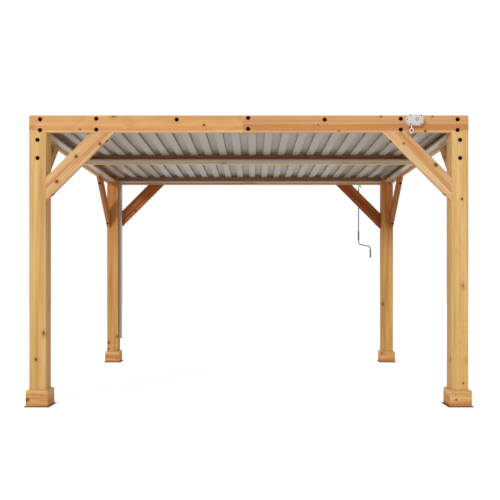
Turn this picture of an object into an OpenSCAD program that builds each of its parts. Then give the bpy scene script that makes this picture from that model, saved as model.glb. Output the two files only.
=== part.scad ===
// Louvered pergola: a cedar frame on four posts, with two bays of tilting aluminium louvres.
// Origin at the plan's centre on the ground, +X to the right, +Y to the back, +Z up.

/* [Frame] */
// Width of the frame over the posts
frame_w = 3658; // [2400:1:5400]
// Depth of the frame over the posts
frame_d = 3048; // [2400:1:4400]
// Height of the beams' top above the ground
frame_h = 2425; // [2000:1:3200]
// Side of a square post
post_side = 140; // [115:1:190]
// Thickness of a beam, rafter or brace
board_t = 38; // [30:1:50]
// Height of a beam or of the rafter
beam_h = 140; // [120:1:200]
// Flat cut off a board's or post's long edges
edge_ease = 3; // [1:0.5:5]

/* [Knee braces] */
// Width of a brace across its grain
brace_w = 140; // [90:1:160]
// Length of a brace's foot along the post and along the beam
brace_leg = 572; // [450:1:750]

/* [Post feet] */
// Side of a square base plate
base_side = 210; // [200:1:270]
// Thickness of a base plate
base_t = 5; // [4:0.5:10]
// Thickness of the plinth boards
plinth_t = 22; // [15:1:28]
// Height of the plinth boards
plinth_h = 140; // [90:1:200]
// Rise of the bevel on the plinth's top
plinth_bevel = 10; // [4:1:20]

/* [Splices and hangers] */
// Distance of a long beam's butt joint from the middle, to the left
seam_offset = 45; // [0:1:200]
// Width of the open butt joint
seam_gap = 1; // [0.5:0.5:3]
// Length of the cleat behind a butt joint
cleat_l = 136; // [110:1:300]
// Height of that cleat
cleat_h = 18; // [12:1:19]
// Sheet thickness of a rafter hanger
hanger_t = 1.5; // [1:0.5:3]
// Length of a hanger's cradle along the rafter
hanger_l = 45; // [30:1:70]
// Height of a hanger
hanger_h = 100; // [70:1:120]
// Width of each flange of a hanger
hanger_flange = 34; // [25:1:45]

/* [Louvres] */
// Pitch from one louvre to the next
louvre_pitch = 152; // [140:1:170]
// Width of a blade's box section
box_w = 72; // [60:1:80]
// Depth of a blade's box section
box_h = 25; // [20:1:30]
// Wall of a blade's box section
blade_wall = 1.6; // [1.2:0.1:2.5]
// Sheet of a blade's flange
flange_t = 2; // [1.5:0.1:3]
// Overlap of a blade's raised lip on the next box
lap = 16; // [10:1:24]
// Clearance between a blade and what it passes
blade_gap = 5; // [5:0.5:8]
// Distance of the middle box's centre line from the middle, to the right
louvre_shift = 28; // [0:1:40]
// Distance of the pivot from the box's centre line, to the left
pivot_back = 7; // [0:1:15]
// Height of the pivot under the beams' top
pivot_drop = 43.5; // [40:0.5:50]
// Diameter of a pivot pin
pin_d = 10; // [8:1:12]
// Thickness of a blade's end cap
cap_t = 3; // [2:0.5:5]
// Thickness of a pivot rail
rail_t = 6; // [4:0.5:10]
// Height of a pivot rail
rail_h = 26; // [22:1:34]

/* [Gutters and downspout] */
// Width of a gutter
gutter_w = 75; // [60:1:95]
// Height of a gutter's sides
gutter_h = 17; // [12:1:22]
// Sheet thickness of the gutters and the downspout
gutter_t = 2; // [1.5:0.5:3]
// Height of a gutter's underside above the beams' underside
gutter_rise = 20; // [19:1:26]
// Width of the downspout across the post's face
spout_w = 48; // [40:1:60]
// Projection of the downspout from the post
spout_d = 36; // [30:1:50]
// Height of the downspout's mouth above the ground
spout_low = 300; // [200:1:500]

/* [Crank drive] */
// Depth of a gearbox housing
gear_d = 55; // [50:1:70]
// Distance from the housing's output shaft to its drive eye
eye_offset = 40; // [34:1:50]
// Diameter of a drive eye's stem
stem_d = 12; // [10:1:14]
// Length of the stem inside the housing
stem_in = 24; // [15:1:30]
// Outer width of a drive eye's loop
loop_w = 34; // [30:1:40]
// Diameter of the loop's bar
loop_bar = 8; // [6:0.5:9]
// Diameter of the crank's rod
crank_d = 13; // [10:0.5:16]
// Diameter of the crank's hook
hook_d = 9; // [7:0.5:10]
// Diameter of the crank's two grip sleeves
grip_d = 19; // [17:0.5:24]
// Length of the crank from its hook to its end
crank_l = 943; // [700:1:1200]
// Sideways throw of the crank
crank_throw = 154; // [100:1:200]

/* [Hidden] */
$fn = 48;
eps = 0.01;

// Planes of the frame
half_w = frame_w / 2;
half_d = frame_d / 2;
beam_low = frame_h - beam_h;
inner_x = half_w - board_t;          // inner faces of the side beams
inner_y = half_d - board_t;          // inner faces of the long beams
post_x = half_w - post_side;         // inner faces of the posts, across
post_y = half_d - post_side;         // inner faces of the posts, front to back
SIDES = [-1, 1];

// Louvres
pivot_z = frame_h - pivot_drop;
fit_gap = 0.08;                      // radial clearance of a pin in its bore
box_right = box_w / 2 + pivot_back;  // box edges, from the pivot
box_left = box_right - box_w;
box_top = box_h / 2;
next_box = box_right - louvre_pitch; // the left neighbour's box edge, from the pivot
blade_y0 = board_t / 2 + rail_t + blade_gap;
blade_y1 = inner_y - rail_t - blade_gap;
blade_l = blade_y1 - blade_y0;
// Reach of a blade beyond the outermost pivots, up to the posts' line
left_reach = box_left - next_box + box_w + lap;
left_count = floor((post_x - left_reach + louvre_shift - pivot_back) / louvre_pitch);
right_count = floor((post_x - box_w - louvre_shift + pivot_back) / louvre_pitch);
louvre_count = left_count + right_count + 1;
function pivot_x(n) = louvre_shift - pivot_back + (n - 1 - left_count) * louvre_pitch;
drive_n = louvre_count - 1;          // the louvre that the gearboxes turn
drive_x = pivot_x(drive_n);
// Underside of the raised lip; the box's top slopes up by flange_t to the left
lap_low = box_top + blade_gap + flange_t * lap / box_w;
pin_short = 0.5;                     // a pin ends this far inside its rail
weep = [8, 4];                       // width and height of the weep notch in a blade's end cap
upstand = 14;                        // height of an end panel's turned-up edge
post_gap = 2;                        // clearance of sheets and rails from a post

// Gutters and downspout
gutter_z = beam_low + gutter_rise;
rail_end = post_x - post_gap;
hanger_gap = 4;                      // clearance of a gutter's end from a hanger
spout_gap = 5;                       // from the downspout to the rear beam
spout_y = inner_y - spout_gap - spout_w / 2;

// Gearbox outline about its output shaft, and its drive eye
GEAR = [[-101, -4], [-66, 38], [41, 38], [64, -11], [35, -49], [-67, -49]];
gear_low = pivot_z + min([for (p = GEAR) p[1]]);
cover_t = 6;                         // depth of the housing's smaller front step
cover_share = 0.93;                  // its size, of the housing's outline
boss_d = 22;                         // raised ring round the output shaft's end
boss_rim = 3;
boss_h = 1.5;
eye_y = half_d + gear_d / 2;
loop_r = (loop_w - loop_bar) / 2;
loop_straight = 12;
eye_drop = 18;                       // from the housing to the loop's upper bend
loop_low = gear_low - eye_drop - loop_bar / 2 - loop_r * 2 - loop_straight;

// Crank
seat_gap = 0.3;
into = 1;                            // how far a straight runs into a bend
bend_swell = 0.2;
hook_r = 14;
hook_z = loop_low + (loop_bar + hook_d) / 2 + 2 * bend_swell + seat_gap - hook_r;
bend_r = 40;
bend_a = 78;
arm_l = (crank_throw - 2 * bend_r * (1 - cos(bend_a))) / sin(bend_a);
arm_drop = 2 * bend_r * sin(bend_a) + arm_l * cos(bend_a);
shank_drop = 26;                     // from the loop's low point down to the rod
bend_clear = 6;                      // rod between the lower grip and the bend
rod_top = loop_low - shank_drop;
hook_tip = 16;
grip_drop = 602;                     // from the hook's top down to the upper grip
grip_l = 114;
hand_l = 104;
hook_top = hook_z + hook_r + hook_d / 2;
crank_low = hook_top - crank_l;
grip_z = hook_top - grip_drop - grip_l;
bend_z = crank_low + hand_l + arm_drop + bend_clear;

function two(n) = n < 10 ? str("0", n) : str(n);
LOUVRES = [for (n = [1:louvre_count]) str("louvre_", two(n))];
FIXED = ["front_left_post", "front_right_post", "rear_left_post", "rear_right_post",
    "base_plates", "plinth_trims", "front_beam", "rear_beam", "left_side_beam", "right_side_beam",
    "centre_rafter", "rafter_hangers", "splice_cleats", "front_knee_braces", "rear_knee_braces",
    "left_knee_braces", "right_knee_braces", "gutters", "pivot_rails", "end_panels", "downspout",
    "front_gearbox", "rear_gearbox", "front_drive_eye", "rear_drive_eye", "crank_handle"];

CEDAR = "burlywood";
TRIM = "peru";
STEEL = "dimgray";
ALU = "silver";
CAST = "gainsboro";

// ---- shared shapes

// Rectangle with its four corners cut off
function eased(w, h, e = edge_ease) = [
    [e, 0], [w - e, 0], [w, e], [w, h - e], [w - e, h], [e, h], [0, h - e], [0, e]];

// Board along X, Y or Z, from its lowest corner
module board_x(l, d, h) rotate([90, 0, 90]) linear_extrude(l) polygon(eased(d, h));
module board_y(w, l, h) translate([0, l, 0]) rotate([90, 0, 0]) linear_extrude(l) polygon(eased(w, h));

// Once for each corner of the plan
module each_corner() for (sx = SIDES, sy = SIDES) scale_corner(sx, sy) children();
module scale_corner(sx, sy)
    mirror([sx < 0 ? 1 : 0, 0, 0]) mirror([0, sy < 0 ? 1 : 0, 0]) children();

// ---- timber frame

// Right rear post; the others are mirrored. Its head is cut back where the beams lie on it.
module post(sx, sy) color(CEDAR) scale_corner(sx, sy)
    translate([post_x, post_y, 0]) difference() {
        translate([0, 0, base_t]) linear_extrude(frame_h - base_t) polygon(eased(post_side, post_side));
        translate([post_side - board_t, -1, beam_low]) cube([board_t + 1, post_side + 2, beam_h + 1]);
        translate([-1, post_side - board_t, beam_low]) cube([post_side + 2, board_t + 1, beam_h + 1]);
    }

module base_plates() color(STEEL) each_corner()
    translate([half_w - post_side / 2 - base_side / 2, half_d - post_side / 2 - base_side / 2, 0])
        cube([base_side, base_side, base_t]);

module plinth_trims() color(TRIM) each_corner() {
    outer = post_side + 2 * plinth_t;
    side = [[0, 0], [outer, 0], [outer, plinth_h - plinth_bevel], [outer - plinth_t, plinth_h],
        [plinth_t, plinth_h], [0, plinth_h - plinth_bevel]];
    translate([post_x - plinth_t, post_y - plinth_t, base_t]) difference() {
        intersection() {
            rotate([90, 0, 90]) linear_extrude(outer) polygon(side);
            translate([0, outer, 0]) rotate([90, 0, 0]) linear_extrude(outer) polygon(side);
        }
        translate([plinth_t, plinth_t, -1]) cube([post_side, post_side, plinth_h + 2]);
    }
}

// Long beam in two lengths, sy = -1 at the front
module long_beam(sy) color(CEDAR) {
    y = sy < 0 ? -half_d : inner_y;
    left_l = half_w - seam_offset - seam_gap / 2;
    translate([-half_w, y, beam_low]) board_x(left_l, board_t, beam_h);
    translate([-seam_offset + seam_gap / 2, y, beam_low])
        board_x(half_w + seam_offset - seam_gap / 2, board_t, beam_h);
}

module side_beam(sx) color(CEDAR)
    translate([sx < 0 ? -half_w : inner_x, -inner_y, beam_low]) board_y(board_t, 2 * inner_y, beam_h);

module centre_rafter() color(CEDAR)
    translate([-inner_x, -board_t / 2, beam_low]) board_x(2 * inner_x, board_t, beam_h);

// Folded sheet cradle at each end of the rafter
module rafter_hangers() color("gray") for (sx = SIDES) mirror([sx < 0 ? 1 : 0, 0, 0]) {
    cradle = board_t / 2 + hanger_t;
    z = beam_low - hanger_t;
    translate([inner_x - hanger_l, -cradle, z]) difference() {
        cube([hanger_l, 2 * cradle, hanger_h]);
        translate([-1, hanger_t, hanger_t]) cube([hanger_l + 2, board_t, hanger_h]);
    }
    for (sy = SIDES) mirror([0, sy < 0 ? 1 : 0, 0])
        translate([inner_x - hanger_t, cradle - eps, z]) cube([hanger_t, hanger_flange, hanger_h]);
}

module splice_cleats() color(CEDAR) for (sy = SIDES) mirror([0, sy < 0 ? 1 : 0, 0])
    translate([-seam_offset - cleat_l / 4, inner_y - board_t, beam_low]) board_x(cleat_l, board_t, cleat_h);

// Brace outline: foot on the post at x = 0, head under the beam at z = 0
module brace_outline() {
    cut = brace_w * sqrt(2);
    polygon([[0, -brace_leg], [0, cut - brace_leg], [brace_leg - cut, 0], [brace_leg, 0]]);
}

// Braces in the plane of a long beam, sy = -1 at the front
module long_braces(sy) color(CEDAR) for (sx = SIDES) scale_corner(sx, sy)
    translate([post_x, half_d, beam_low]) rotate([90, 0, 0]) linear_extrude(board_t)
        mirror([1, 0]) brace_outline();

// Braces in the plane of a side beam, sx = -1 at the left
module side_braces(sx) color(CEDAR) for (sy = SIDES) scale_corner(sx, sy)
    translate([inner_x, post_y, beam_low]) rotate([90, 0, 90]) linear_extrude(board_t)
        mirror([1, 0]) brace_outline();

// ---- rainwater

// Channel section, with its back at y = 0 and its underside at z = 0
module gutter_run(l) translate([-l / 2, 0, 0]) difference() {
    cube([l, gutter_w, gutter_h]);
    translate([-1, gutter_t, gutter_t]) cube([l + 2, gutter_w - 2 * gutter_t, gutter_h]);
}

module gutters() color(ALU) {
    rafter_run = 2 * (inner_x - hanger_l - hanger_gap);
    side_y0 = board_t / 2 + gutter_w + seam_gap;
    side_run = post_y - side_y0 - seam_gap;
    for (sy = SIDES) mirror([0, sy < 0 ? 1 : 0, 0]) {
        translate([0, board_t / 2, gutter_z]) gutter_run(rafter_run);
        difference() {
            translate([0, inner_y - gutter_w, gutter_z]) gutter_run(2 * rail_end);
            if (sy > 0) translate([-post_x + gutter_t, spout_y - spout_w / 2 + gutter_t, gutter_z - 1])
                cube([spout_d - 2 * gutter_t, spout_w - 2 * gutter_t, gutter_t + 2]);
        }
        for (sx = SIDES) mirror([sx < 0 ? 1 : 0, 0, 0])
            translate([inner_x, side_y0 + side_run / 2, gutter_z]) rotate([0, 0, 90]) gutter_run(side_run);
    }
}

// Square pipe on the rear left post's inner face, under the gutter
module downspout() color(ALU) translate([-post_x, spout_y - spout_w / 2, spout_low]) difference() {
    h = gutter_z - spout_low;
    cube([spout_d, spout_w, h]);
    translate([gutter_t, gutter_t, -1]) cube([spout_d - 2 * gutter_t, spout_w - 2 * gutter_t, h + 2]);
}

// ---- louvres

module pivot_rails() color(ALU) for (y = [-inner_y, -board_t / 2 - rail_t, board_t / 2, inner_y - rail_t])
    difference() {
        translate([-rail_end, y, pivot_z - rail_h / 2]) cube([2 * rail_end, rail_t, rail_h]);
        for (n = [1:louvre_count]) translate([pivot_x(n), y + rail_t + 1, pivot_z])
            rotate([90, 0, 0]) cylinder(d = pin_d + 2 * fit_gap, h = rail_t + 2);
    }

// Blade outline about its pivot: a box, a flange to the left and a raised lip over the next box
module blade_outline() {
    step = next_box + blade_gap;
    difference() {
        polygon([[box_left, -box_top], [box_right, -box_top], [box_right, box_top],
            [box_left, box_top + flange_t], [step + flange_t, box_top + flange_t],
            [step + flange_t, lap_low + flange_t], [next_box - lap, lap_low + flange_t],
            [next_box - lap, lap_low], [step, lap_low], [step, box_top], [box_left, box_top]]);
        translate([box_left + blade_wall, -box_top + blade_wall])
            square([box_w - 2 * blade_wall, box_h - 2 * blade_wall]);
    }
}

// One blade along Y from y0, with end caps and pins; the caps leave a weep notch
module blade(y0) {
    pin_l = rail_t + blade_gap - pin_short;
    translate([0, y0 + blade_l, 0]) rotate([90, 0, 0]) linear_extrude(blade_l) blade_outline();
    for (end = [0, 1]) translate([0, y0 + end * (blade_l - cap_t), 0]) {
        translate([box_left + 1, 0, 1 - box_top]) difference() {
            cube([box_w - 2, cap_t, box_h - 2]);
            translate([box_w - 2 - 1.5 * weep[0], -1, -1]) cube([weep[0], cap_t + 2, weep[1] + 1]);
        }
        translate([0, end ? cap_t + pin_l : cap_t, 0])
            rotate([90, 0, 0]) cylinder(d = pin_d, h = pin_l + cap_t);
    }
}

module louvre(n) color("lightgray") translate([pivot_x(n), 0, pivot_z]) {
    blade(blade_y0);
    blade(-blade_y1);
}

// Fixed panels that close the roof beside the first and last louvres, notched round the posts
module end_panels() color("lightgray") {
    left_edge = pivot_x(1) + next_box;
    right_edge = pivot_x(louvre_count) + box_right + blade_gap;
    box_x = pivot_x(louvre_count) + louvre_pitch + box_left;
    for (y0 = [-blade_y1, blade_y0]) difference() {
        translate([0, y0 + blade_l, pivot_z]) rotate([90, 0, 0]) linear_extrude(blade_l) {
            panel_outline(left_edge - box_w, -inner_x, left_edge);
            panel_outline(box_x, right_edge, inner_x);
        }
        for (sx = SIDES)
            translate([sx < 0 ? -half_w : rail_end, y0 < 0 ? -half_d : post_y - post_gap, beam_low])
                cube([post_side + post_gap, post_side + post_gap, beam_h]);
    }
}

// Folded sheet from x0 to x1, with a hollow box at x_box and an upstand against the side beam
module panel_outline(x_box, x0, x1) {
    wall = blade_wall;
    deck = box_top - (x_box < 0 ? flange_t : 0);
    difference() {
        union() {
            translate([x0, deck]) square([x1 - x0 - (x_box < 0 ? box_w - 1 : 0), flange_t]);
            translate([x_box, -box_top]) square([box_w, box_h]);
            translate([x_box < 0 ? x0 : x1 - flange_t, deck]) square([flange_t, upstand]);
        }
        translate([x_box + wall, wall - box_top]) square([box_w - 2 * wall, box_h - 2 * wall]);
    }
}

// ---- crank drive

module gearbox(sy) color(CAST) translate([drive_x, 0, pivot_z]) {
    // The rear housing is the front one turned round its output shaft
    rotate([0, 0, sy < 0 ? 0 : 180]) difference() {
        union() {
            translate([0, -half_d, 0]) rotate([90, 0, 0]) linear_extrude(gear_d - cover_t) polygon(GEAR);
            translate([0, -half_d - gear_d + cover_t, 0]) rotate([90, 0, 0]) linear_extrude(cover_t)
                polygon([for (p = GEAR) p * cover_share]);
            translate([0, -half_d - gear_d + 1, 0]) rotate([90, 0, 0]) difference() {
                cylinder(d = boss_d, h = 1 + boss_h);
                translate([0, 0, boss_h]) cylinder(d = boss_d - 2 * boss_rim, h = boss_h + 1);
            }
        }
        translate([-eye_offset, -eye_y, gear_low - pivot_z - 1])
            cylinder(d = stem_d + 2 * fit_gap, h = stem_in + 2);
    }
}

// Drive eye under a housing: a stem and an upright loop, turned by a round the stem
module drive_eye(x, y, a) color("lightgray") translate([x, y, 0]) rotate([0, 0, a]) {
    loop_top = gear_low - eye_drop - loop_bar / 2;
    for (up = [0, 1]) translate([0, 0, up ? loop_top - loop_r : loop_low + loop_r])
        rotate([0, up ? 0 : 180, 0]) bend(loop_r, 180, loop_bar);
    for (sx = SIDES) translate([sx * loop_r, 0, loop_low + loop_r - into])
        cylinder(d = loop_bar, h = loop_straight + 2 * into);
    translate([0, 0, loop_top - 1]) cylinder(d = stem_d, h = gear_low + stem_in - loop_top + 1);
}

// Bend of angle a and radius r in the XZ plane, a little thicker than the rod that runs into it
module bend(r, a, d) rotate([90, 0, 0])
    rotate_extrude(angle = a) translate([r, 0]) circle(d = d + 2 * bend_swell);

// Crank hooked in the rear eye: hook, rod with a grip, bent arm and handle with a grip
module crank_handle() color("gray") translate([drive_x + eye_offset - hook_r, eye_y, 0]) {
    rise = 1 - cos(bend_a);
    // Hook over the loop's lower bend
    translate([hook_r, 0, hook_z]) bend(hook_r, 180, hook_d);
    translate([2 * hook_r, 0, hook_z - hook_tip]) cylinder(d = hook_d, h = hook_tip + into);
    translate([0, 0, rod_top - 1]) cylinder(d = hook_d, h = hook_z - rod_top + 1 + into);
    // Rod and upper grip
    translate([0, 0, bend_z - into]) cylinder(d = crank_d, h = rod_top - bend_z + into);
    translate([0, 0, grip_z]) cylinder(d = grip_d, h = grip_l);
    // Arm between two bends
    translate([bend_r, 0, bend_z]) rotate([0, 180, 0]) bend(bend_r, bend_a, crank_d);
    translate([bend_r * rise, 0, bend_z - bend_r * sin(bend_a)]) rotate([0, 180 - bend_a, 0])
        translate([0, 0, -into]) cylinder(d = crank_d, h = arm_l + 2 * into);
    translate([crank_throw - bend_r, 0, bend_z - arm_drop]) bend(bend_r, bend_a, crank_d);
    // Handle and lower grip
    translate([crank_throw, 0, crank_low]) {
        cylinder(d = crank_d, h = bend_z - arm_drop - crank_low + into);
        cylinder(d = grip_d, h = hand_l);
    }
}

post(-1, -1);  // front_left_post
post(1, -1);  // front_right_post
post(-1, 1);  // rear_left_post
post(1, 1);  // rear_right_post
base_plates();
plinth_trims();
long_beam(-1);  // front_beam
long_beam(1);  // rear_beam
side_beam(-1);  // left_side_beam
side_beam(1);  // right_side_beam
centre_rafter();
rafter_hangers();
splice_cleats();
long_braces(-1);  // front_knee_braces
long_braces(1);  // rear_knee_braces
side_braces(-1);  // left_knee_braces
side_braces(1);  // right_knee_braces
gutters();
pivot_rails();
end_panels();
downspout();
gearbox(-1);  // front_gearbox
gearbox(1);  // rear_gearbox
drive_eye(drive_x - eye_offset, -eye_y, 0);  // front_drive_eye
drive_eye(drive_x + eye_offset, eye_y, 90);  // rear_drive_eye
crank_handle();
for (n = [1:louvre_count]) louvre(n);
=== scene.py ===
"""Louvered pergola: the finish of its cedar frame, its coated louvres and its crank drive.

Lengths are in metres; MM turns a size in millimetres into metres. X runs to the right,
Y to the back and Z up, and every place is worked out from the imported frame's own boxes.
"""

import math

import bpy
from mathutils import Matrix, Vector


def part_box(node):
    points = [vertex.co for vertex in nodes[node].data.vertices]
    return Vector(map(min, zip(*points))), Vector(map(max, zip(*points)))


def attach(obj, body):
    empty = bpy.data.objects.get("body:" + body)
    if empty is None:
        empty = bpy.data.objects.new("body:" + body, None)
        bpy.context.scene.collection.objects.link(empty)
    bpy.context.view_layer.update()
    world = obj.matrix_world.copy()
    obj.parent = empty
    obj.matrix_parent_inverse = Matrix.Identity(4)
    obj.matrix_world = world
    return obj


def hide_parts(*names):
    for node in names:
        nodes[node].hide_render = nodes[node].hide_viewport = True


MM = 0.001
SIDES = (-1, 1)
LEFT, RIGHT = Vector((-1, 0, 0)), Vector((1, 0, 0))
FRONT, REAR = Vector((0, -1, 0)), Vector((0, 1, 0))
DIAGONAL = math.sqrt(0.5)                # a knee brace's run along X or Y for each metre of it

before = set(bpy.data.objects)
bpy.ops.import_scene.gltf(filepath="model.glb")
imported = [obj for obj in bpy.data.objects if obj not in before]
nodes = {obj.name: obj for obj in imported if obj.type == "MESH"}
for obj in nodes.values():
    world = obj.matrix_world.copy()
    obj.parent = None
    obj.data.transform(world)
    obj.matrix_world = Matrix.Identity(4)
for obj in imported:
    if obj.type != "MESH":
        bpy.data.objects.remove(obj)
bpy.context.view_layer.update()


# ---- places that the frame gives

post_lo, post_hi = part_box("front_right_post")
POST_SIDE = post_hi.x - post_lo.x
HALF_W = post_hi.x
HALF_D = -post_lo.y
POST_X = HALF_W - POST_SIDE / 2          # a post's centre line
POST_Y = HALF_D - POST_SIDE / 2
rafter_lo, rafter_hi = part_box("centre_rafter")
BEAM_LOW, BEAM_TOP = rafter_lo.z, rafter_hi.z
BEAM_MID = (BEAM_LOW + BEAM_TOP) / 2
BOARD_T = rafter_hi.y - rafter_lo.y
INNER_X = rafter_hi.x                    # the side beams' inner faces
BRACE_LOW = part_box("front_knee_braces")[0].z          # a brace's foot on its post
BRACE_LEG = BEAM_LOW - BRACE_LOW
rail_lo, rail_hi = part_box("pivot_rails")
PIVOT_Z = (rail_lo.z + rail_hi.z) / 2    # the blades' pins, which the shafts line up with
cleat_lo, cleat_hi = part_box("splice_cleats")
SEAM = (cleat_lo.x + cleat_hi.x) / 2 - 34 * MM        # the long beams' butt joint
plinth_lo, plinth_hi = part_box("plinth_trims")
PLINTH_LOW, PLINTH_TOP = plinth_lo.z, plinth_hi.z
PLINTH_T = plinth_hi.x - HALF_W


# ---- modelling

def only(*objects):
    """Selects these objects and nothing else, with the first one active."""
    bpy.ops.object.select_all(action="DESELECT")
    for obj in objects:
        obj.select_set(True)
    bpy.context.view_layer.objects.active = objects[0]


def modify(obj, kind, **settings):
    """Adds one modifier with its settings and applies it."""
    only(obj)
    modifier = obj.modifiers.new(kind.title(), kind)
    for key, value in settings.items():
        setattr(modifier, key, value)
    bpy.ops.object.modifier_apply(modifier=modifier.name)
    return obj


def settle(obj):
    """Moves an object's place, turn and scale into its mesh."""
    only(obj)
    bpy.ops.object.transform_apply(location=True, rotation=True, scale=True)
    return obj


def pick(obj, kind, test):
    """In edit mode, selects only the vertices or faces whose centre passes the test."""
    bpy.ops.mesh.select_mode(type=kind)
    bpy.ops.mesh.select_all(action="DESELECT")
    bpy.ops.object.mode_set(mode="OBJECT")
    mesh = obj.data
    for item in mesh.vertices if kind == "VERT" else mesh.polygons:
        item.select = test(item.co if kind == "VERT" else item.center)
    bpy.ops.object.mode_set(mode="EDIT")


def rod(radius, depth, corners, base=0.0):
    """Upright cylinder standing at height base on the origin."""
    bpy.ops.object.select_all(action="DESELECT")
    bpy.ops.mesh.primitive_cylinder_add(
        vertices=corners, radius=radius, depth=depth, location=(0, 0, base + depth / 2))
    return settle(bpy.context.object)


def join(name, parts):
    """Makes one mesh of several."""
    only(*parts)
    bpy.ops.object.join()
    parts[0].name = name
    parts[0].data.name = name
    return parts[0]


def smooth(obj, degrees=35):
    """Shades the faces smooth across edges flatter than this angle."""
    only(obj)
    bpy.ops.object.shade_smooth_by_angle(angle=math.radians(degrees))
    return obj


def wear(obj, material, body="frame"):
    """Gives a new piece its finish and the body that carries it."""
    obj.data.materials.clear()
    obj.data.materials.append(material)
    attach(obj, body)
    return obj


def facing(point, direction):
    """Matrix that stands a model's base on a point, with its top towards the direction."""
    turn = Vector(direction).to_track_quat("Z", "Y").to_matrix().to_4x4()
    return Matrix.Translation(Vector(point)) @ turn


def copied(model, matrix):
    """Copy of a model with its own mesh, put at the matrix."""
    copy = model.copy()
    copy.data = model.data.copy()
    copy.data.transform(matrix)
    bpy.context.scene.collection.objects.link(copy)
    return copy


def spread(name, model, places):
    """One piece made of a model's copies, each at a (point, direction)."""
    return join(name, [copied(model, facing(*place)) for place in places])


MERGE = 0.02 * MM                        # corners closer than this are one corner


def eased_copy(node, name, width, segments):
    """Copy of a CAD node with its sharp edges rounded over, standing for that node."""
    copy = copied(nodes[node], Matrix.Identity(4))
    copy.name = name
    copy.data.name = name
    copy.parent = None
    for key in [k for k in copy.keys() if k.startswith("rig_")]:
        del copy[key]
    only(copy)
    bpy.ops.object.mode_set(mode="EDIT")
    bpy.ops.mesh.select_all(action="SELECT")
    bpy.ops.mesh.remove_doubles(threshold=MERGE)
    bpy.ops.mesh.dissolve_limited(angle_limit=math.radians(2))
    bpy.ops.object.mode_set(mode="OBJECT")
    modify(copy, "BEVEL", width=width, segments=segments, limit_method="ANGLE",
           angle_limit=math.radians(30), harden_normals=False)
    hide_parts(node)
    return copy


# ---- materials

def linear(code):
    """Linear RGBA of an sRGB hex colour."""
    parts = [int(code[i:i + 2], 16) / 255 for i in (1, 3, 5)]
    return [p / 12.92 if p <= 0.04045 else ((p + 0.055) / 1.055) ** 2.4 for p in parts] + [1.0]


def put(tree, kind, inputs=None, stops=(), **settings):
    """Adds one shader node, sets it, and sets or links its inputs.

    stops are a colour ramp's colours, as (position, sRGB hex) pairs.
    """
    node = tree.nodes.new("ShaderNode" + kind)
    for key, value in settings.items():
        setattr(node, key, value)
    for key, value in (inputs or {}).items():
        if isinstance(value, bpy.types.Node):
            value = value.outputs[0]
        if isinstance(value, bpy.types.NodeSocket):
            tree.links.new(value, node.inputs[key])
        else:
            node.inputs[key].default_value = value
    if stops:
        elements = node.color_ramp.elements
        while len(elements) < len(stops):
            elements.new(1.0)
        for element, (position, code) in zip(elements, stops):
            element.position = position
            element.color = linear(code)
    return node


def new_finish(name, metallic=0.0):
    """Empty material, its node tree and its shader."""
    material = bpy.data.materials.new(name)
    material.use_nodes = True
    shader = material.node_tree.nodes["Principled BSDF"]
    shader.inputs["Metallic"].default_value = metallic
    return material, material.node_tree, shader


def grain_place(tree, grain, splits):
    """The place, its three axes, and the place in a board's own frame.

    The board's own frame has X along the grain, and Y and Z across it.
    grain is the axis that the grain follows, or brace_x or brace_y for a knee brace in the
    XZ or YZ plane. splits are (axis, value, step) triples: boards on either side of a plane
    come from other lengths of timber, so they are moved along the pattern by that step.
    """
    place = put(tree, "TexCoord").outputs["Object"]
    axes = put(tree, "SeparateXYZ", {0: place}).outputs
    x, y, z = axes
    if grain.startswith("brace"):
        out, other = (x, y) if grain == "brace_x" else (y, x)
        far = put(tree, "Math", {0: out}, operation="ABSOLUTE")
        rise = put(tree, "Math", {0: z, 1: far}, operation="SUBTRACT")
        level = put(tree, "Math", {0: z, 1: far}, operation="ADD")
        along = put(tree, "Math", {0: rise, 1: DIAGONAL}, operation="MULTIPLY")
        wide = put(tree, "Math", {0: level, 1: DIAGONAL}, operation="MULTIPLY")
        thick = other
    else:
        along, wide, thick = {"x": (x, z, y), "y": (y, z, x), "z": (z, x, y)}[grain]
    for axis, value, step in splits:
        side = put(tree, "Math", {0: axes["XYZ".index(axis)], 1: value}, operation="GREATER_THAN")
        along = put(tree, "Math", {0: side, 1: step, 2: along}, operation="MULTIPLY_ADD")
        wide = put(tree, "Math", {0: side, 1: step / 9, 2: wide}, operation="MULTIPLY_ADD")
    return place, axes, put(tree, "CombineXYZ", {0: along, 1: wide, 2: thick})


# Cedar's pattern. Cells are counted per metre, along the grain and across it.
KNOT_CELLS = (4.6, 7.5, 7.5)
BARE_CELLS = 0.62                        # share of the cells that hold no knot
OUT_OF_REACH = 10.0
KNOT_EDGE = 0.11                         # how far from a knot's middle its edge is, in cells
KNOT_FADE = (0.075, 0.135)               # from all knot to none of it, in cells
HALO_FADE = (0.10, 0.30)
WAVER_CELLS = (1.3, 4.0, 4.0)
WAVER, BULGE = 0.075, 0.012              # how far rings wander, and swell round a knot
FIBRE_CELLS = (18, 640, 640)
STREAK_CELLS = (0.9, 26, 26)
DRIFT_CELLS = (1.1, 5, 5)
STREAK_STOPS = (0.34, 0.5, 0.67)         # where a board is pale, of its usual tone, and deep
YEAR_RING = 7 * MM
ARRIS = 20 * MM                          # the pale strip along a board's lower edge, which the inner faces' painted shade leaves out
BAND_SHARE, INNER_SHADE_SHARE, HALO_SHARE, KNOT_SHARE = 0.75, 0.88, 0.42, 0.88
HALO_TONE, KNOT_TONE = "#AE6A2E", "#602C0C"


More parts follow.
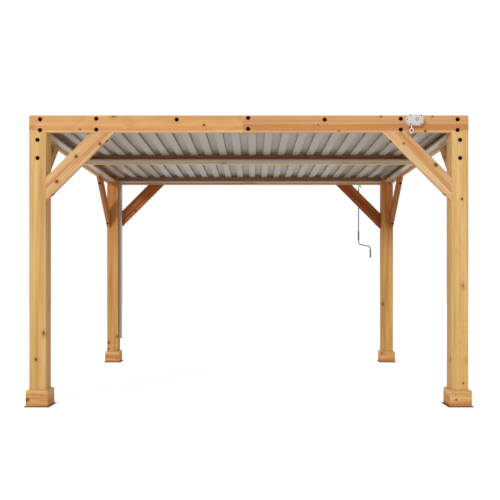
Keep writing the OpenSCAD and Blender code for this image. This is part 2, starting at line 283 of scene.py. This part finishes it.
def cedar(name, grain, tones, splits=(), knots=(), bands=(), right_bands=(), inner=None,
          painted_height_light=None, shade_beyond=None, pith=(0.11, 0.07)):
    """Western red cedar, planed and oiled: a soft sheen over straight grain.

    tones are the pale, the usual and the deep colour of the wood. Its year rings are
    7 mm apart and its fibres 1.5 mm, its broad streaks about 40 mm wide, and its knots
    12 to 32 mm across. pith moves the rings' centre across the grain, in metres.
    knots are (x, y, z, radius) of knots that show on a face.
    bands are (height, sRGB hex) pairs: long streaks of other colour that run with the
    grain of a beam, with right_bands on the length to the right of its butt joint. The palest,
    lowest ones paint a highlight along the beam's lower edge.
    inner is (axis, distance, sRGB hex): faces no further than that from the middle take this
    redder colour, painted shade under the roof, from the blades down to the pale lower arris.
    painted_height_light is two (height, (red, green, blue)) pairs: painted light and shade,
    the share of each colour kept at a low and at a high place.
    shade_beyond is (axis, value, tones): past that plane boards take these tones, painted shade.
    """
    material, tree, shader = new_finish(name)
    shader.inputs["Specular IOR Level"].default_value = 0.3
    place, axes, board = grain_place(tree, grain, splits)

    # Knots: a sparse scatter inside the timber, and the listed ones
    cell_place = put(tree, "VectorMath", {0: board, 1: KNOT_CELLS}, operation="MULTIPLY")
    cells = put(tree, "TexVoronoi", {"Vector": cell_place, "Scale": 1.0})
    cell_draw = put(tree, "SeparateColor", {0: cells.outputs["Color"]})
    bare = put(tree, "Math", {0: cell_draw, 1: BARE_CELLS}, operation="LESS_THAN")
    reach = put(tree, "Math", {0: bare, 1: OUT_OF_REACH, 2: cells.outputs["Distance"]},
                operation="MULTIPLY_ADD")
    for *point, radius in knots:
        gap = put(tree, "VectorMath", {0: place, 1: point}, operation="DISTANCE")
        share = put(tree, "Math", {0: gap.outputs["Value"], 1: radius / KNOT_EDGE},
                    operation="DIVIDE")
        reach = put(tree, "Math", {0: reach, 1: share}, operation="MINIMUM")
    knot, halo = (put(tree, "MapRange", {0: reach, 1: near, 2: far, 3: 1.0, 4: 0.0},
                      interpolation_type="SMOOTHSTEP") for near, far in (KNOT_FADE, HALO_FADE))

    # Year rings: distance from the pith, wavering along the board and bulging round knots
    waver_place = put(tree, "VectorMath", {0: board, 1: WAVER_CELLS}, operation="MULTIPLY")
    waver = put(tree, "TexNoise", {"Vector": waver_place, "Scale": 1.0, "Detail": 2.0})
    from_pith = put(tree, "VectorMath", {0: board, 1: (0, pith[0] - BEAM_MID, pith[1])},
                    operation="ADD")
    flat = put(tree, "VectorMath", {0: from_pith, 1: (0, 1, 1)}, operation="MULTIPLY")
    radius = put(tree, "VectorMath", {0: flat}, operation="LENGTH").outputs["Value"]
    radius = put(tree, "Math", {0: waver, 1: WAVER, 2: radius}, operation="MULTIPLY_ADD")
    radius = put(tree, "Math", {0: halo, 1: BULGE, 2: radius}, operation="MULTIPLY_ADD")
    turns = put(tree, "Math", {0: radius, 1: 1 / YEAR_RING}, operation="MULTIPLY")
    year = put(tree, "Math", {0: turns}, operation="FRACT")
    late = put(tree, "Math", {0: year, 1: 3.0}, operation="POWER")

    # Fine fibres, and broad streaks of sapwood and heartwood
    fibre_place = put(tree, "VectorMath", {0: board, 1: FIBRE_CELLS}, operation="MULTIPLY")
    fibre = put(tree, "TexNoise", {"Vector": fibre_place, "Scale": 1.0, "Detail": 2.0})
    streak_place = put(tree, "VectorMath", {0: board, 1: STREAK_CELLS}, operation="MULTIPLY")
    streak = put(tree, "TexNoise", {"Vector": streak_place, "Scale": 1.0, "Detail": 3.0,
                                    "Roughness": 0.6})
    wood = put(tree, "ValToRGB", {0: streak}, stops=list(zip(STREAK_STOPS, tones)))
    # Painted shade: past the plane the boards take deeper tones.
    if shade_beyond:
        axis, value, shade_tones = shade_beyond
        side = put(tree, "Math", {0: axes["XYZ".index(axis)], 1: value},
                   operation="GREATER_THAN")
        shaded_wood = put(tree, "ValToRGB", {0: streak}, stops=list(zip(STREAK_STOPS, shade_tones)))
        wood = put(tree, "Mix", {0: side, 6: wood, 7: shaded_wood}, data_type="RGBA").outputs[2]

    # Bands along a beam (the lowest a painted highlight), painted shade on the inner faces, and
    # painted light and shade by height
    if bands:
        drift_place = put(tree, "VectorMath", {0: board, 1: DRIFT_CELLS}, operation="MULTIPLY")
        drift = put(tree, "TexNoise", {"Vector": drift_place, "Scale": 1.0})
        height = put(tree, "Math", {0: drift, 1: 0.02, 2: axes[2]}, operation="MULTIPLY_ADD")
        level = put(tree, "MapRange", {0: height, 1: BEAM_LOW + 0.01, 2: BEAM_TOP + 0.01})
        tint = put(tree, "ValToRGB", {0: level}, stops=bands)
        if right_bands:
            right = put(tree, "Math", {0: axes[0], 1: SEAM}, operation="GREATER_THAN")
            right_tint = put(tree, "ValToRGB", {0: level}, stops=right_bands)
            tint = put(tree, "Mix", {0: right, 6: tint, 7: right_tint},
                       data_type="RGBA").outputs[2]
        wood = put(tree, "Mix", {0: BAND_SHARE, 6: wood, 7: tint}, data_type="RGBA").outputs[2]
    # Painted shade: inner faces under the blades are mixed towards a redder, darker colour.
    if inner:
        axis, distance, red = inner
        far = put(tree, "Math", {0: axes["XYZ".index(axis)]}, operation="ABSOLUTE")
        inside = put(tree, "Math", {0: far, 1: distance + MM}, operation="LESS_THAN")
        under_blades = put(tree, "Math", {0: axes[2], 1: (PIVOT_Z + BEAM_LOW + ARRIS) / 2,
                                          2: (PIVOT_Z - BEAM_LOW - ARRIS) / 2},
                           operation="COMPARE")
        share = put(tree, "Math", {0: inside, 1: under_blades}, operation="MULTIPLY")
        share = put(tree, "Math", {0: share, 1: INNER_SHADE_SHARE}, operation="MULTIPLY")
        wood = put(tree, "Mix", {0: share, 6: wood, 7: linear(red)}, data_type="RGBA").outputs[2]
    # Painted light and shade: each colour is scaled by a share that changes with height.
    if painted_height_light:
        (low, low_share), (high, high_share) = painted_height_light
        level = put(tree, "MapRange", {0: axes[2], 1: low, 2: high})
        left = put(tree, "Mix", {0: level, 4: low_share, 5: high_share}, data_type="VECTOR")
        wood = put(tree, "VectorMath", {0: wood, 1: left.outputs[1]}, operation="MULTIPLY")

    # Dark latewood lines, light and dark fibres, and the knots over them
    ring_share = put(tree, "MapRange", {0: late, 3: 0.0, 4: 0.30})
    wood = put(tree, "Mix", {0: ring_share, 6: wood, 7: linear(tones[2])},
               data_type="RGBA").outputs[2]
    light = put(tree, "MapRange", {0: fibre, 1: 0.3, 2: 0.7, 3: 0.93, 4: 1.05})
    wood = put(tree, "VectorMath", {0: wood, "Scale": light}, operation="SCALE")
    for mask, full_share, tone in ((halo, HALO_SHARE, HALO_TONE), (knot, KNOT_SHARE, KNOT_TONE)):
        share = put(tree, "Math", {0: mask, 1: full_share}, operation="MULTIPLY")
        wood = put(tree, "Mix", {0: share, 6: wood, 7: linear(tone)}, data_type="RGBA").outputs[2]
    tree.links.new(wood, shader.inputs["Base Color"])

    rough = put(tree, "MapRange", {0: fibre, 1: 0.3, 2: 0.7, 3: 0.58, 4: 0.72})
    tree.links.new(rough.outputs[0], shader.inputs["Roughness"])
    relief = put(tree, "Math", {0: late, 1: 0.6, 2: fibre}, operation="MULTIPLY_ADD")
    relief = put(tree, "Math", {0: knot, 1: 0.8, 2: relief}, operation="MULTIPLY_ADD")
    bump = put(tree, "Bump", {"Height": relief, "Strength": 0.5, "Distance": 0.5 * MM})
    tree.links.new(bump.outputs[0], shader.inputs["Normal"])
    return material


FLANGE_PAINTED_SHADE = -0.13                     # painted shade: what the underside of a blade's flange loses


def coated(name, colour, spread_share=0.04, roughness=0.42, grit=2.2 * MM, relief=0.08 * MM,
           shaded_flange_z=None, sheen=0.5):
    """Powder coat baked on aluminium or steel: an even, half-matt skin with orange peel.

    grit is the peel's spacing, drawn coarser than the real 0.5 mm so that it still shows.
    shaded_flange_z is the height of a blade's flange, whose underside is painted darker:
    painted shade in the recess between blades.
    """
    material, tree, shader = new_finish(name)
    shader.inputs["Specular IOR Level"].default_value = sheen
    place = put(tree, "TexCoord").outputs["Object"]
    peel = put(tree, "TexNoise", {"Vector": place, "Scale": 1 / grit, "Detail": 2.0})
    cloud = put(tree, "TexNoise", {"Vector": place, "Scale": 3.0, "Detail": 4.0})
    light = put(tree, "MapRange", {0: cloud, 1: 0.3, 2: 0.7,
                                   3: 1 - spread_share, 4: 1 + spread_share})
    # Painted shade under each blade's flange.
    if shaded_flange_z:
        height = put(tree, "SeparateXYZ", {0: place}).outputs[2]
        under = put(tree, "Math", {0: height, 1: shaded_flange_z, 2: 1.2 * MM}, operation="COMPARE")
        light = put(tree, "Math", {0: under, 1: FLANGE_PAINTED_SHADE, 2: light},
                    operation="MULTIPLY_ADD")
    tint = put(tree, "VectorMath", {0: linear(colour)[:3], "Scale": light}, operation="SCALE")
    tree.links.new(tint.outputs[0], shader.inputs["Base Color"])
    rough = put(tree, "MapRange", {0: cloud, 1: 0.3, 2: 0.7,
                                   3: roughness - 0.05, 4: roughness + 0.06})
    tree.links.new(rough.outputs[0], shader.inputs["Roughness"])
    bump = put(tree, "Bump", {"Height": peel, "Strength": 0.4, "Distance": relief})
    tree.links.new(bump.outputs[0], shader.inputs["Normal"])
    return material


def satin_metal(name, colour, stretch, roughness=0.36):
    """Drawn metal, zinc plated: a soft gloss broken by fine lines along it.

    stretch is the lines' count per metre on each axis, low along the drawing. They are
    1.4 mm apart, coarser than real ones, so that they show.
    """
    material, tree, shader = new_finish(name, metallic=1.0)
    place = put(tree, "TexCoord").outputs["Object"]
    line_place = put(tree, "VectorMath", {0: place, 1: stretch}, operation="MULTIPLY")
    lines = put(tree, "TexNoise", {"Vector": line_place, "Scale": 1.0, "Detail": 2.0})
    light = put(tree, "MapRange", {0: lines, 1: 0.3, 2: 0.7, 3: 0.92, 4: 1.05})
    tint = put(tree, "VectorMath", {0: linear(colour)[:3], "Scale": light}, operation="SCALE")
    tree.links.new(tint.outputs[0], shader.inputs["Base Color"])
    rough = put(tree, "MapRange", {0: lines, 1: 0.3, 2: 0.7,
                                   3: roughness - 0.06, 4: roughness + 0.08})
    tree.links.new(rough.outputs[0], shader.inputs["Roughness"])
    return material


SPANGLE = 9 * MM


def galvanised(name):
    """Hot-dip galvanised sheet: zinc crystals about 9 mm across, lighter and darker."""
    material, tree, shader = new_finish(name, metallic=0.9)
    place = put(tree, "TexCoord").outputs["Object"]
    crystals = put(tree, "TexVoronoi", {"Vector": place, "Scale": 1 / SPANGLE})
    draw = put(tree, "SeparateColor", {0: crystals.outputs["Color"]})
    tint = put(tree, "ValToRGB", {0: draw}, stops=[(0.0, "#9CA1A3"), (1.0, "#C6CACB")])
    tree.links.new(tint.outputs[0], shader.inputs["Base Color"])
    rough = put(tree, "MapRange", {0: draw, 3: 0.34, 4: 0.5})
    tree.links.new(rough.outputs[0], shader.inputs["Roughness"])
    return material


# Timber. Each group of boards has its own way of grain and its own tones of cedar. The deeper
# tones of the rear posts, the rear braces and the side braces' rear halves are painted shade.
CORNERS = (("X", 0.0, 3.7), ("Y", 0.0, 8.3))
GOLD = ("#E0BA7C", "#D5AA68", "#C59456")
# Deeper than GOLD: on the rear posts this is painted shade.
TAWNY = ("#D9A768", "#CB9553", "#B37A3E")
SIENNA_SHADE = ("#CC8C54", "#BB7641", "#9A562B")
HONEY = ("#E3B070", "#D69E60", "#BE7C42")
AMBER = ("#E8C18E", "#DBA971", "#C08450")
# Deeper still, on the rear braces: painted shade.
RUSSET_SHADE = ("#C3793C", "#B06028", "#8B4417")
FOOT = ("#DCA868", "#CF9352", "#B87138")
UNDERSIDE = ("#F6DAB4", "#F0CD9F", "#DCAE78")

# The palest stops at the bottom of these bands paint a highlight along the beam's lower edge.
LEFT_BANDS = [(0.0, "#F4D2A2"), (0.07, "#EEC38C"), (0.13, "#DE9B5E"), (0.34, "#E19F60"),
              (0.5, "#ECB677"), (0.62, "#E0A96D"), (1.0, "#E2A76A")]
RIGHT_BANDS = [(0.0, "#EBC796"), (0.06, "#DCB07A"), (0.12, "#C78149"), (0.46, "#C37B43"),
               (0.53, "#E2AE73"), (0.64, "#CF9964"), (0.8, "#D9A56E"), (1.0, "#D7A36B")]
BEAM_SPLITS = (("X", SEAM, 5.1),)
BEAM_KNOTS = ((-0.373, -HALF_D, 2.345, 0.010), (-1.405, -HALF_D, 2.308, 0.007),
              (1.100, -HALF_D, 2.417, 0.009), (1.528, -HALF_D, 2.417, 0.008),
              (0.751, -HALF_D, 2.295, 0.007), (1.470, -HALF_D, 2.295, 0.010),
              (0.578, -HALF_D, 2.346, 0.006))
BRACE_KNOTS = ((-1.437, -HALF_D, 2.083, 0.014), (-1.598, -HALF_D, 1.874, 0.015),
               (-1.239, -HALF_D, 2.187, 0.012), (1.558, -HALF_D, 2.012, 0.015),
               (1.290, -HALF_D, 2.190, 0.008))

front_post_cedar = cedar(
    "front_post_cedar", "z", GOLD, CORNERS, pith=(0.1, 0.02),
    # Lighter towards the head: painted light.
    painted_height_light=((0.1, (0.98, 0.94, 0.83)), (2.2, (1.11, 1.16, 1.22))),
    knots=((1.775, -HALF_D, 1.729, 0.010), (-1.772, -HALF_D, 0.393, 0.012),
           (1.786, -HALF_D, 0.195, 0.008)))
rear_post_cedar = cedar(
    "rear_post_cedar", "z", TAWNY, CORNERS, pith=(0.1, 0.02),
    # Redder and darker towards the head: painted shade.
    painted_height_light=((1.2, (1.02, 1.06, 1.05)), (2.1, (0.99, 0.74, 0.64))),
    knots=((-1.807, HALF_D - POST_SIDE, 0.25, 0.016), (-1.812, HALF_D - POST_SIDE, 0.17, 0.014)))
front_beam_cedar = cedar("front_beam_cedar", "x", HONEY, BEAM_SPLITS, BEAM_KNOTS,
                         LEFT_BANDS, RIGHT_BANDS)
# The inner faces of the rear beam, the side beams and the rafter get painted shade under the
# blades.
rear_beam_cedar = cedar("rear_beam_cedar", "x", HONEY, BEAM_SPLITS, bands=RIGHT_BANDS,
                        right_bands=LEFT_BANDS, inner=("Y", HALF_D - BOARD_T, "#D4957A"),
                        pith=(0.15, -2.9))
side_cedar = cedar("side_beam_cedar", "y", AMBER, (("X", 0.0, 4.3),),
                   inner=("X", INNER_X, "#B9744A"))
rafter_cedar = cedar("rafter_cedar", "x", UNDERSIDE, inner=("Y", BOARD_T / 2, "#B36B50"))
cleat_cedar = cedar("cleat_cedar", "x", HONEY)
front_brace_cedar = cedar("front_brace_cedar", "brace_x", AMBER, CORNERS, BRACE_KNOTS)
rear_brace_cedar = cedar("rear_brace_cedar", "brace_x", RUSSET_SHADE, CORNERS)
# The side braces' rear halves take deeper tones: painted shade.
side_brace_cedar = cedar("side_brace_cedar", "brace_y", TAWNY, CORNERS,
                         shade_beyond=("Y", 0.0, SIENNA_SHADE))
# Darker at a plinth's foot and lighter at its top: painted shade and light.
FOOT_PAINTED_LIGHT = ((PLINTH_LOW, (1.0, 0.92, 0.88)), (PLINTH_TOP, (1.2, 1.62, 2.05)))
plinth_x_cedar = cedar("plinth_cedar_along_x", "x", FOOT, CORNERS, painted_height_light=FOOT_PAINTED_LIGHT,
                       pith=(2.3, 0.04),
                       knots=((-1.840, -HALF_D - PLINTH_T, 0.060, 0.016),
                              (1.7205, -HALF_D - PLINTH_T, 0.061, 0.008)))
plinth_y_cedar = cedar("plinth_cedar_along_y", "y", FOOT, CORNERS, painted_height_light=FOOT_PAINTED_LIGHT,
                       pith=(2.3, 0.04))

# Metal and moulded plastic
FLANGE_RISE = 12.5 * MM                  # a blade's flange above its pin
# The flanges' undersides are painted darker: painted shade.
louvre_coat = coated("louvre_powder_coat", "#B6ACA0", roughness=0.45,
                     shaded_flange_z=PIVOT_Z + FLANGE_RISE)
gutter_coat = coated("gutter_powder_coat", "#C4B8A9", roughness=0.4)
# The rails' dark brown paints the shade at the blades' ends.
rail_shade_coat = coated("pivot_rail_brown_painted_shade", "#8C7263", roughness=0.5)
cast_coat = coated("die_cast_housing_paint", "#D6D1CB", roughness=0.38, grit=3 * MM)
eye_coat = coated("drive_eye_white_coat", "#E4E1DC", roughness=0.36)
plate_coat = coated("base_plate_dark_coat", "#3A312D", 0.1, 0.5)
bolt_coat = coated("black_oxide_bolt", "#1C0A05", 0.15, 0.7, 1.6 * MM, sheen=0.04)
zinc_sheet = galvanised("galvanised_sheet")
crank_zinc = satin_metal("zinc_plated_crank_rod", "#77787A", (700, 700, 12), 0.34)
grip_plastic = coated("grey_grip_sleeve", "#6F6E6D", 0.05, 0.55)

FINISHES = {
    "front_left_post": front_post_cedar, "front_right_post": front_post_cedar,
    "rear_left_post": rear_post_cedar, "rear_right_post": rear_post_cedar,
    "front_beam": front_beam_cedar, "rear_beam": rear_beam_cedar, "splice_cleats": cleat_cedar,
    "left_side_beam": side_cedar, "right_side_beam": side_cedar, "centre_rafter": rafter_cedar,
    "base_plates": plate_coat, "rafter_hangers": zinc_sheet, "gutters": gutter_coat,
    "downspout": gutter_coat, "pivot_rails": rail_shade_coat, "end_panels": louvre_coat,
    "front_drive_eye": eye_coat, "rear_drive_eye": eye_coat, "crank_handle": crank_zinc,
}
for node_name, node_object in nodes.items():
    coat = louvre_coat if node_name.startswith("louvre_") else FINISHES.get(node_name)
    if coat:
        for slot_number in range(len(node_object.material_slots)):
            node_object.material_slots[slot_number].material = coat


# ---- knee braces, with their long edges eased

for way, brace_finish in (("front", front_brace_cedar), ("rear", rear_brace_cedar),
                          ("left", side_brace_cedar), ("right", side_brace_cedar)):
    boards = eased_copy(f"{way}_knee_braces", f"{way}_brace_boards", 2.5 * MM, 2)
    wear(smooth(boards), brace_finish)


# ---- plinths: four mitred boards round each post's foot

PLINTH_SLOPE = 10 * MM
MITRE_GAP = 0.3 * MM


def plinth_board():
    """Front board of a plinth round a post at the origin: its top slopes, its ends are mitred."""
    outer = POST_SIDE / 2 + PLINTH_T
    bpy.ops.object.select_all(action="DESELECT")
    bpy.ops.mesh.primitive_cube_add(
        size=1, location=(0, PLINTH_T / 2 - outer, (PLINTH_LOW + PLINTH_TOP) / 2))
    board = bpy.context.object
    board.scale = (2 * outer, PLINTH_T, PLINTH_TOP - PLINTH_LOW)
    settle(board)
    bpy.ops.object.mode_set(mode="EDIT")
    pick(board, "VERT", lambda co: co.z > PLINTH_TOP - MM and co.y < -outer + MM)
    bpy.ops.transform.translate(value=(0, 0, -PLINTH_SLOPE))
    for side in SIDES:
        bpy.ops.mesh.select_all(action="SELECT")
        bpy.ops.mesh.bisect(plane_co=(-side * MITRE_GAP, 0, 0), plane_no=(side, 1, 0),
                            use_fill=True, clear_outer=True)
    bpy.ops.object.mode_set(mode="OBJECT")
    return modify(board, "BEVEL", width=1.5 * MM, segments=2, limit_method="ANGLE")


model_board = plinth_board()
for turn_sides, plinth_finish, piece_name in (
        ((0, 2), plinth_x_cedar, "plinth_boards_front_and_rear"),
        ((1, 3), plinth_y_cedar, "plinth_boards_left_and_right")):
    plinth = join(piece_name, [
        copied(model_board, Matrix.Translation((sx * POST_X, sy * POST_Y, 0))
               @ Matrix.Rotation(math.pi / 2 * turn, 4, "Z"))
        for sx in SIDES for sy in SIDES for turn in turn_sides])
    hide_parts("plinth_trims")
    wear(smooth(plinth), plinth_finish)
bpy.data.objects.remove(model_board)


# ---- bolts and screws

def bolt_head():
    """Black hexagon head, 24 mm over its corners, on a collar and a 34 mm washer."""
    washer = rod(17 * MM, 3 * MM, 28)
    modify(washer, "BEVEL", width=0.9 * MM, segments=2, limit_method="ANGLE")
    collar = rod(13.5 * MM, 2 * MM, 28, 3 * MM)
    modify(collar, "BEVEL", width=1.2 * MM, segments=2, limit_method="ANGLE")
    head = rod(12 * MM, 8 * MM, 6, 3 * MM)
    modify(head, "BEVEL", width=1.1 * MM, segments=2, limit_method="ANGLE")
    return smooth(join("bolt_head", [washer, collar, head]))


def screw_head(radius, depth):
    """Low round head with a round socket sunk in its top."""
    head = rod(radius, depth, 18)
    bpy.ops.object.mode_set(mode="EDIT")
    pick(head, "FACE", lambda centre: centre.z > depth * 0.9)
    bpy.ops.mesh.inset(thickness=radius * 0.45)
    bpy.ops.mesh.extrude_region_move(TRANSFORM_OT_translate={"value": (0, 0, -depth * 0.5)})
    bpy.ops.object.mode_set(mode="OBJECT")
    modify(head, "BEVEL", width=depth * 0.2, segments=2, limit_method="ANGLE")
    return smooth(head)


def shaded_counterbore():
    """Dark disc of 28 mm, 2 mm proud, over a brace's bolt. It stands for the black bolt head in
    its counterbore and the painted shade in that hole.
    """
    disc = rod(14 * MM, 2 * MM, 28)
    return smooth(modify(disc, "BEVEL", width=0.8 * MM, segments=2, limit_method="ANGLE"))


bolt = bolt_head()
# Dark discs at the brace bolts: the black bolt heads, and painted shade in their counterbores.
counterbore_disc = shaded_counterbore()
small_screw = screw_head(4.5 * MM, 3 * MM)
nail = screw_head(3 * MM, 1 * MM)

# Along a beam: distance from the middle, and depths below the beam's top
END_ROW = 91 * MM                        # the end bolts' distance from a beam's end
BEAM_ROWS = ((-6 * MM, (21 * MM, 112 * MM)), (-601 * MM, (35 * MM,)), (632 * MM, (35 * MM,)),
             (-1270 * MM, (28 * MM, 118 * MM)), (1265 * MM, (28 * MM, 118 * MM)),
             (END_ROW - HALF_W, (33 * MM, 122 * MM)), (HALF_W - END_ROW, (33 * MM, 122 * MM)))
POST_BOLTS = (2221 * MM, 2070 * MM)

for sy, side_name, out in ((-1, "front", FRONT), (1, "rear", REAR)):
    on_beam = [((x, sy * HALF_D, BEAM_TOP - drop), out)
               for x, drops in BEAM_ROWS for drop in drops]
    wear(spread(f"{side_name}_beam_bolts", bolt, on_beam), bolt_coat)
    on_posts = [((sx * POST_X, sy * HALF_D, z), out) for sx in SIDES for z in POST_BOLTS]
    wear(spread(f"{side_name}_post_bolts", bolt, on_posts), bolt_coat)

SIDE_ROWS = (-(HALF_D - END_ROW), HALF_D - END_ROW, 0.0)
SIDE_DROPS = (33 * MM, 112 * MM)
for sx, side_name, out in ((-1, "left", LEFT), (1, "right", RIGHT)):
    on_beam = [((sx * HALF_W, y, BEAM_TOP - drop), out)
               for y in SIDE_ROWS for drop in SIDE_DROPS]
    on_posts = [((sx * HALF_W, sy * POST_Y, z), out) for sy in SIDES for z in POST_BOLTS]
    wear(spread(f"{side_name}_side_bolts", bolt, on_beam + on_posts), bolt_coat)

# On each brace's lower edge: distances along it from its foot and from its head
FROM_FOOT, FROM_HEAD = 80 * MM, 100 * MM
edge_steps = (FROM_FOOT * DIAGONAL, BRACE_LEG - FROM_HEAD * DIAGONAL)
MID_X, MID_Y = HALF_W - BOARD_T / 2, HALF_D - BOARD_T / 2
for way in ("front", "rear", "left", "right"):
    places = []
    for side in SIDES:
        for step in edge_steps:
            z = BRACE_LOW + step
            if way in ("front", "rear"):
                y = MID_Y * (-1 if way == "front" else 1)
                places.append(((side * (POST_X - POST_SIDE / 2 - step), y, z), (-side, 0, -1)))
            else:
                x = MID_X * (-1 if way == "left" else 1)
                places.append(((x, side * (POST_Y - POST_SIDE / 2 - step), z), (0, -side, -1)))
    wear(spread(f"{way}_brace_bolts", counterbore_disc, places), bolt_coat)

# Two finishing nails near the top of each plinth board
NAIL_REACH, NAIL_Z = 45 * MM, 98 * MM
PLINTH_FACE = POST_SIDE / 2 + PLINTH_T   # from a post's centre line
nail_places = []
for sx in SIDES:
    for sy in SIDES:
        for out in (LEFT, RIGHT, FRONT, REAR):
            across = Vector((out.y, out.x, 0))
            middle = Vector((sx * POST_X, sy * POST_Y, NAIL_Z)) + out * PLINTH_FACE
            nail_places += [(middle + across * side * NAIL_REACH, out) for side in SIDES]
wear(spread("plinth_nails", nail, nail_places), bolt_coat)

# Three screws on each flange of the hangers
HANGER_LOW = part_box("rafter_hangers")[0].z
HANGER_SHEET = 1.5 * MM
HANGER_FLANGE_Y = 37.5 * MM              # the middle of a flange
HANGER_RISES = (16 * MM, 50 * MM, 84 * MM)
flange_x = INNER_X - HANGER_SHEET
hanger_places = [((sx * flange_x, sy * HANGER_FLANGE_Y, HANGER_LOW + rise), (-sx, 0, 0))
                 for sx in SIDES for sy in SIDES for rise in HANGER_RISES]
wear(spread("hanger_screws", small_screw, hanger_places), zinc_sheet)


# ---- gearboxes: cast edges, cover screws, and the shaft's end in its seal

def shaft_ring():
    """Dark seal of 27 mm round the output shaft's end."""
    ring = rod(13.5 * MM, 2 * MM, 36)
    return smooth(modify(ring, "BEVEL", width=0.5 * MM, segments=2, limit_method="ANGLE"))


HOUSING_DEEP = 55 * MM
SHAFT_IN = 64 * MM                       # the shaft's distance from the housing's nearer tip
SCREW_SHARE = 0.84                       # how far out towards the cover's corners its screws are
# The cover's corners from the shaft's centre, in millimetres
GEAR_CORNERS = ((-101, -4), (-66, 38), (41, 38), (64, -11), (35, -49), (-67, -49))
for side_name, sy in (("front", -1), ("rear", 1)):
    housing = eased_copy(f"{side_name}_gearbox", f"{side_name}_gearbox_housing", 2 * MM, 3)
    wear(smooth(housing, 40), cast_coat)
    low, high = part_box(f"{side_name}_gearbox")
    shaft_x = high.x - SHAFT_IN if sy < 0 else low.x + SHAFT_IN
    face_y = sy * (HALF_D + HOUSING_DEEP)
    step = SCREW_SHARE * MM
    screws = [((shaft_x - sy * x * step, face_y, PIVOT_Z + z * step), (0, sy, 0))
              for x, z in GEAR_CORNERS]
    wear(spread(f"{side_name}_gearbox_screws", small_screw, screws), bolt_coat)
    for part, model, coat in (("ring", shaft_ring(), bolt_coat),
                              ("end", smooth(rod(9.5 * MM, 3 * MM, 36)), cast_coat)):
        model.data.transform(facing((shaft_x, face_y, PIVOT_Z), (0, sy, 0)))
        model.name = f"{side_name}_gearbox_shaft_{part}"
        wear(model, coat)


# ---- crank: two grip sleeves with raised collars

COLLAR_H, COLLAR_PROUD = 6 * MM, 1.5 * MM
GRIP_R = 9.5 * MM
SLEEVE_R = GRIP_R + 0.4 * MM             # over the frame's plain grip
HAND_L, GRIP_L, GRIP_DROP = 104 * MM, 114 * MM, 602 * MM


def sleeve(name, x, y, low, high):
    """Soft sleeve on an upright rod, with a raised collar at each end."""
    parts = [rod(SLEEVE_R, high - low, 32, low)]
    parts += [rod(SLEEVE_R + COLLAR_PROUD, COLLAR_H, 32, base)
              for base in (low, high - COLLAR_H)]
    for part in parts:
        modify(part, "BEVEL", width=1.2 * MM, segments=3, limit_method="ANGLE")
    piece = join(name, parts)
    piece.data.transform(Matrix.Translation((x, y, 0)))
    return wear(smooth(piece), grip_plastic, "crank")


crank_lo, crank_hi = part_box("crank_handle")
rod_x, hand_x = crank_lo.x + GRIP_R, crank_hi.x - GRIP_R
rod_y = (crank_lo.y + crank_hi.y) / 2
sleeve("crank_hand_grip", hand_x, rod_y, crank_lo.z + 1 * MM, crank_lo.z + HAND_L)
upper_top = crank_hi.z - GRIP_DROP
sleeve("crank_rod_grip", rod_x, rod_y, upper_top - GRIP_L, upper_top)

for model in (bolt, counterbore_disc, small_screw, nail):
    bpy.data.objects.remove(model)


# ---- floor, light and camera

ROOM = 40.0                              # the floor's side
AMBIENT = 0.68                           # the world's light on the object
SUN_POWER = 1.15
FLOOR_LIFT = 0.56                        # extra white that the floor shows to seen_share's rays
SUN_AZIMUTH, SUN_ELEVATION, SUN_ANGLE = map(math.radians, (-29, 12, 6))
LENS, SENSOR = 46.86, 36                 # millimetres, as the camera's own settings are
SHIFT_X, SHIFT_Y = -0.0048, 0.0582
EYE = (0.030, -6.9425, 1.062)


def seen_share(tree):
    """1 for rays from the camera, a reflection or a clear material, else 0."""
    path = put(tree, "LightPath").outputs
    seen = put(tree, "Math", {0: path["Is Camera Ray"], 1: path["Is Glossy Ray"]},
               operation="MAXIMUM")
    return put(tree, "Math", {0: seen, 1: path["Is Transmission Ray"]}, operation="MAXIMUM")


def make_floor():
    """Plain pale floor."""
    bpy.ops.object.select_all(action="DESELECT")
    bpy.ops.mesh.primitive_plane_add(size=ROOM)
    floor = bpy.context.object
    floor.name = "floor"
    material, tree, shader = new_finish("pale_floor")
    shader.inputs["Base Color"].default_value = linear("#EFEDEA")
    shader.inputs["Specular IOR Level"].default_value = 0.0
    shader.inputs["Emission Color"].default_value = (1, 1, 1, 1)
    lift = put(tree, "Math", {0: seen_share(tree), 1: FLOOR_LIFT}, operation="MULTIPLY")
    tree.links.new(lift.outputs[0], shader.inputs["Emission Strength"])
    floor.data.materials.append(material)


def make_light():
    """White surroundings, and a low soft sun from the front left."""
    world = bpy.data.worlds.new("studio")
    bpy.context.scene.world = world
    world.use_nodes = True
    tree = world.node_tree
    glow = tree.nodes["Background"]
    glow.inputs["Color"].default_value = (1, 1, 1, 1)
    level = put(tree, "MapRange", {0: seen_share(tree), 3: AMBIENT, 4: 1.0})
    tree.links.new(level.outputs[0], glow.inputs["Strength"])
    lamp = bpy.data.lights.new("sun", "SUN")
    lamp.energy = SUN_POWER
    lamp.angle = SUN_ANGLE
    sun = bpy.data.objects.new("sun", lamp)
    level_part = math.cos(SUN_ELEVATION)
    towards = Vector((math.sin(SUN_AZIMUTH) * level_part, -math.cos(SUN_AZIMUTH) * level_part,
                      math.sin(SUN_ELEVATION)))
    sun.rotation_mode = "QUATERNION"
    sun.rotation_quaternion = towards.to_track_quat("Z", "Y")
    bpy.context.scene.collection.objects.link(sun)


def make_camera():
    """Eye level in front of the pergola, looking straight back."""
    data = bpy.data.cameras.new("camera")
    data.sensor_width = SENSOR
    data.lens = LENS
    data.shift_x, data.shift_y = SHIFT_X, SHIFT_Y
    data.clip_end = 100
    camera = bpy.data.objects.new("camera", data)
    camera.location = EYE
    camera.rotation_euler = (math.pi / 2, 0, 0)
    bpy.context.scene.collection.objects.link(camera)
    bpy.context.scene.camera = camera


make_floor()
make_light()
make_camera()
bpy.context.scene.view_settings.view_transform = "Standard"
